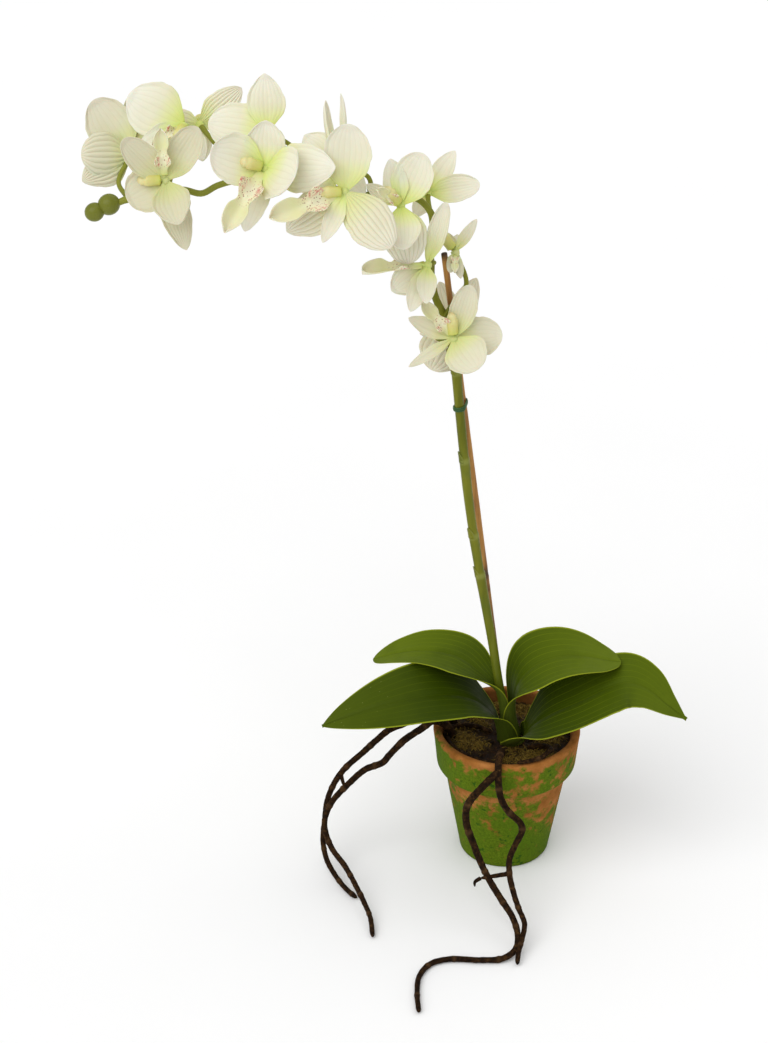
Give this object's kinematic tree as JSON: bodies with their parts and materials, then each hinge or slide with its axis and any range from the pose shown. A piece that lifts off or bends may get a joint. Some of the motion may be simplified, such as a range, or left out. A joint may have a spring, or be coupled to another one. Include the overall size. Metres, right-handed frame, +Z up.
{
  "type": "potted orchid",
  "caption": "Moth orchid in a moss-stained clay pot: strap leaves, an arching spike of white blooms on a stake, and brown aerial roots that trail over the rim to the surface.",
  "frame": {"origin": "centre of the underside of the pot's foot, on the surface the pot stands on", "axes": "+Z up; the arch of blooms leans towards -X; the front roots come out towards -Y, the side the picture was taken from"},
  "size_m": [0.4194, 0.2881, 0.589],
  "materials": {
    "clay": "unglazed terracotta with patches of moss green, matte",
    "mix": "dark potting mix with dry moss, matte",
    "leaf": "waxy green with a paler edge, satin",
    "stem": "green stem, satin",
    "wood": "raw wood, matte",
    "tie": "dark green band, matte",
    "root": "rough brown bark, matte",
    "petal": "creamy white with fine ribs, matte",
    "lip": "pale green-white with small red marks, matte",
    "column": "pale yellow, matte"
  },
  "bodies": {
    "root": {"pot": "clay", "potting_mix": "mix", "crown": "stem", "leaf_upper_left": "leaf", "leaf_upper_right": "leaf", "leaf_lower_left": "leaf", "leaf_lower_right": "leaf", "flower_spike": "stem", "stake": "wood", "tie": "tie", "aerial_roots_front": "root", "aerial_roots_left": "root", "surface_root_1": "root", "surface_root_2": "root", "surface_root_3": "root", "bloom_01_petals": "petal", "bloom_01_lip": "lip", "bloom_01_column": "column", "bloom_02_petals": "petal", "bloom_02_lip": "lip", "bloom_02_column": "column", "bloom_03_petals": "petal", "bloom_03_lip": "lip", "bloom_03_column": "column", "bloom_04_petals": "petal", "bloom_04_lip": "lip", "bloom_04_column": "column", "bloom_05_petals": "petal", "bloom_05_lip": "lip", "bloom_05_column": "column", "bloom_06_petals": "petal", "bloom_06_lip": "lip", "bloom_06_column": "column", "bloom_07_petals": "petal", "bloom_07_lip": "lip", "bloom_07_column": "column", "bloom_08_petals": "petal", "bloom_08_lip": "lip", "bloom_08_column": "column", "bloom_09_petals": "petal", "bloom_09_lip": "lip", "bloom_09_column": "column", "bloom_10_petals": "petal", "bloom_10_lip": "lip", "bloom_10_column": "column", "bloom_11_petals": "petal", "bloom_11_lip": "lip", "bloom_11_column": "column", "bloom_12_petals": "petal", "bloom_12_lip": "lip", "bloom_12_column": "column", "bloom_13_petals": "petal", "bloom_13_lip": "lip", "bloom_13_column": "column", "bloom_14_petals": "petal", "bloom_14_lip": "lip", "bloom_14_column": "column"}
  },
  "joints": []
}
